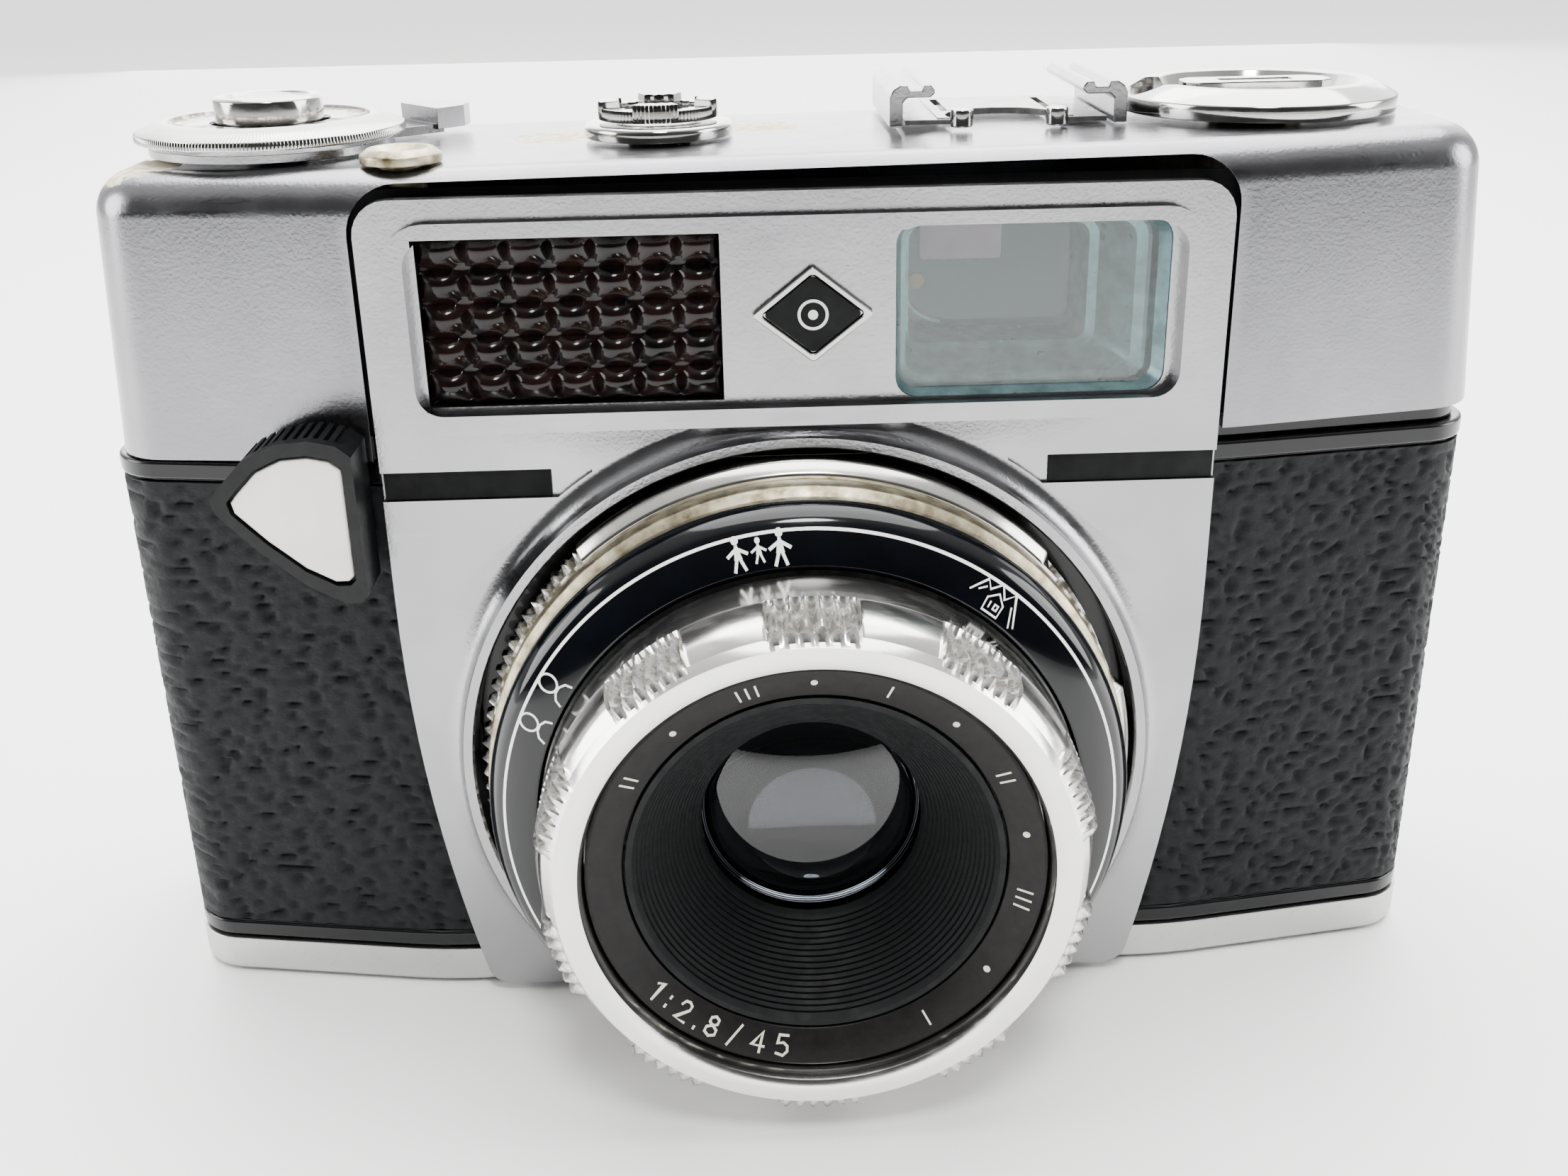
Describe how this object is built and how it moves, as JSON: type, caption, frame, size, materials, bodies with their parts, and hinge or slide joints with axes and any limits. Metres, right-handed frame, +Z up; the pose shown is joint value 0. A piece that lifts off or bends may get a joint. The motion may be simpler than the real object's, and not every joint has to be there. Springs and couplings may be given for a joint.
{
  "type": "viewfinder camera",
  "caption": "Compact 35 mm film camera with a ringed lens, a light meter window, a finder window, wind lever, rewind knob, accessory shoe and hinged back.",
  "frame": {"origin": "on the face that the camera stands on, under the lens axis, half way through the body from front to back", "axes": "+X towards the viewer's right when the lens faces the viewer, +Y from the lens to the back door, +Z up"},
  "size_m": [0.1272, 0.0598, 0.0838],
  "materials": {
    "body_paint": "semi-gloss black paint",
    "base_chrome": "satin",
    "cover_chrome": "satin",
    "trim_chrome": "satin",
    "steel": "machined",
    "screw_steel": "nickel plated",
    "leather": "pebbled",
    "badge_black": "gloss lacquer in a polished rim",
    "meter_lens": "honeycomb moulded",
    "selenium": "dark grey",
    "aluminium": "machined",
    "finder_glass": "tinted",
    "clear_glass": "clear",
    "lens_glass": "coated",
    "tunnel_black": "matt",
    "black_plastic": "moulded",
    "blade_steel": "blackened",
    "cone_black": "matt, turned",
    "setting_chrome": "knurled",
    "worn_brass": "worn",
    "symbol_black": "gloss lacquer",
    "focus_chrome": "bright, grooved grips",
    "name_black": "satin",
    "lever_chrome": "satin",
    "dial_chrome": "bright",
    "shoe_chrome": "satin",
    "spring_steel": "bright",
    "release_plastic": "ribbed",
    "release_white": "cream white"
  },
  "bodies": {
    "camera": {"chassis": "body_paint", "base_plate": "base_chrome", "top_cover": "cover_chrome", "front_trim": "trim_chrome", "tripod_bush": "steel", "base_screw_left": "screw_steel", "base_screw_right": "screw_steel", "cover_screw_left": "screw_steel", "cover_screw_right": "screw_steel", "leather_left": "leather", "leather_right": "leather", "badge": "badge_black", "meter_window": "meter_lens", "selenium_cell": "selenium", "meter_movement": "aluminium", "finder_window": "finder_glass", "finder_tunnel": "tunnel_black", "finder_front_lens": "clear_glass", "finder_eye_lens": "clear_glass", "eyepiece_frame": "black_plastic", "shutter_housing": "aluminium", "rear_cell": "cone_black", "middle_element": "clear_glass", "rear_element": "clear_glass", "brass_ring": "worn_brass", "symbol_ring": "symbol_black", "reminder_flange": "dial_chrome", "release_socket": "worn_brass", "shoe_rail_left": "shoe_chrome", "shoe_rail_right": "shoe_chrome", "shoe_stop_left": "screw_steel", "shoe_stop_right": "screw_steel", "shoe_spring": "spring_steel", "film_gate": "steel", "hinge_pin": "steel"},
    "setting": {"setting_ring": "setting_chrome"},
    "lens_cell": {"front_cell": "cone_black", "front_element": "lens_glass"},
    "focus": {"focus_ring": "focus_chrome", "name_ring": "name_black"},
    "release": {"release_lever": "release_plastic", "release_insert": "release_white"},
    "winder": {"wind_lever": "lever_chrome", "wind_dial": "dial_chrome"},
    "counter": {"counter_knob": "dial_chrome"},
    "spool": {"takeup_spool": "black_plastic"},
    "film_sprocket": {"sprocket": "steel"},
    "rewind_lift": {"rewind_sleeve": "worn_brass"},
    "rewind": {"rewind_knob": "dial_chrome", "rewind_fork": "steel"},
    "crank": {"rewind_crank": "dial_chrome"},
    "reminder": {"reminder_dial": "dial_chrome"},
    "door": {"back_door": "body_paint", "door_leather": "leather", "pressure_plate": "body_paint", "pressure_spring": "spring_steel"},
    "latch": {"door_latch": "shoe_chrome"},
    "needle": {"meter_needle": "aluminium"},
    "blade_left": {"shutter_blade_left": "blade_steel"},
    "blade_right": {"shutter_blade_right": "blade_steel"}
  },
  "joints": [
    {"name": "setting_turn", "type": "hinge", "parent": "camera", "child": "setting", "pos_m": [0, -0.0186, 0.0255], "axis": [0, 1, 0], "range_deg": [-18, 18]},
    {"name": "focus_slide", "type": "slide", "parent": "camera", "child": "lens_cell", "axis": [0, -1, 0], "range_m": [0, 0.0012]},
    {"name": "focus_turn", "type": "hinge", "parent": "lens_cell", "child": "focus", "pos_m": [0, -0.0311, 0.0255], "axis": [0, 1, 0], "range_deg": [-100, 0]},
    {"name": "release_press", "type": "slide", "parent": "camera", "child": "release", "axis": [0, 0, -1], "range_m": [0, 0.005], "stiffness_N_per_m": 300},
    {"name": "wind_swing", "type": "hinge", "parent": "camera", "child": "winder", "pos_m": [-0.046, -0.001, 0.0789], "axis": [0, 0, 1], "range_deg": [0, 130], "stiffness_Nm_per_rad": 0.01},
    {"name": "counter_turn", "type": "hinge", "parent": "camera", "child": "counter", "pos_m": [-0.046, -0.001, 0.0789], "axis": [0, 0, 1], "range_deg": [0, 11]},
    {"name": "spool_turn", "type": "hinge", "parent": "camera", "child": "spool", "pos_m": [-0.046, -0.001, 0.0029], "axis": [0, 0, 1], "range_deg": [0, 361]},
    {"name": "sprocket_turn", "type": "hinge", "parent": "camera", "child": "film_sprocket", "pos_m": [-0.028, 0.0055, 0.0029], "axis": [0, 0, 1], "range_deg": [0, 361]},
    {"name": "rewind_pull", "type": "slide", "parent": "camera", "child": "rewind_lift", "axis": [0, 0, 1], "range_m": [0, 0.006]},
    {"name": "rewind_turn", "type": "hinge", "parent": "rewind_lift", "child": "rewind", "pos_m": [0.0431, 0.0018, 0.08], "axis": [0, 0, 1], "continuous": true},
    {"name": "crank_fold", "type": "hinge", "parent": "rewind", "child": "crank", "pos_m": [0.049, 0.0018, 0.08263], "axis": [0, 1, 0], "range_deg": [0, 110]},
    {"name": "reminder_turn", "type": "hinge", "parent": "camera", "child": "reminder", "pos_m": [-0.0116, -0.0015, 0.0794], "axis": [0, 0, 1], "continuous": true},
    {"name": "door_swing", "type": "hinge", "parent": "camera", "child": "door", "pos_m": [-0.063, 0.0096, 0.0048], "axis": [0, 0, 1], "range_deg": [0, 110]},
    {"name": "latch_slide", "type": "slide", "parent": "door", "child": "latch", "axis": [0, 0, 1], "range_m": [0, 0.003], "stiffness_N_per_m": 150},
    {"name": "needle_swing", "type": "hinge", "parent": "camera", "child": "needle", "pos_m": [-0.02, 0.002, 0.0563], "axis": [0, 0, 1], "range_deg": [-15, 15]},
    {"name": "blade_left_open", "type": "hinge", "parent": "camera", "child": "blade_left", "pos_m": [-0.0165, -0.0189, 0.0255], "axis": [0, 1, 0], "range_deg": [0, 25], "stiffness_Nm_per_rad": 0.001, "springref_deg": -28.65},
    {"name": "blade_right_open", "type": "hinge", "parent": "camera", "child": "blade_right", "pos_m": [0.0165, -0.0189, 0.0255], "axis": [0, 1, 0], "range_deg": [-25, 0], "stiffness_Nm_per_rad": 0.001, "springref_deg": 28.65}
  ],
  "couplings": [
    {"joint": "focus_slide", "follows": "focus_turn", "m_per_rad": -0.00068},
    {"joint": "counter_turn", "follows": "wind_swing", "ratio": 0.0769},
    {"joint": "spool_turn", "follows": "wind_swing", "ratio": 2.7692},
    {"joint": "sprocket_turn", "follows": "wind_swing", "ratio": 2.7692},
    {"joint": "blade_right_open", "follows": "blade_left_open", "ratio": -1}
  ]
}
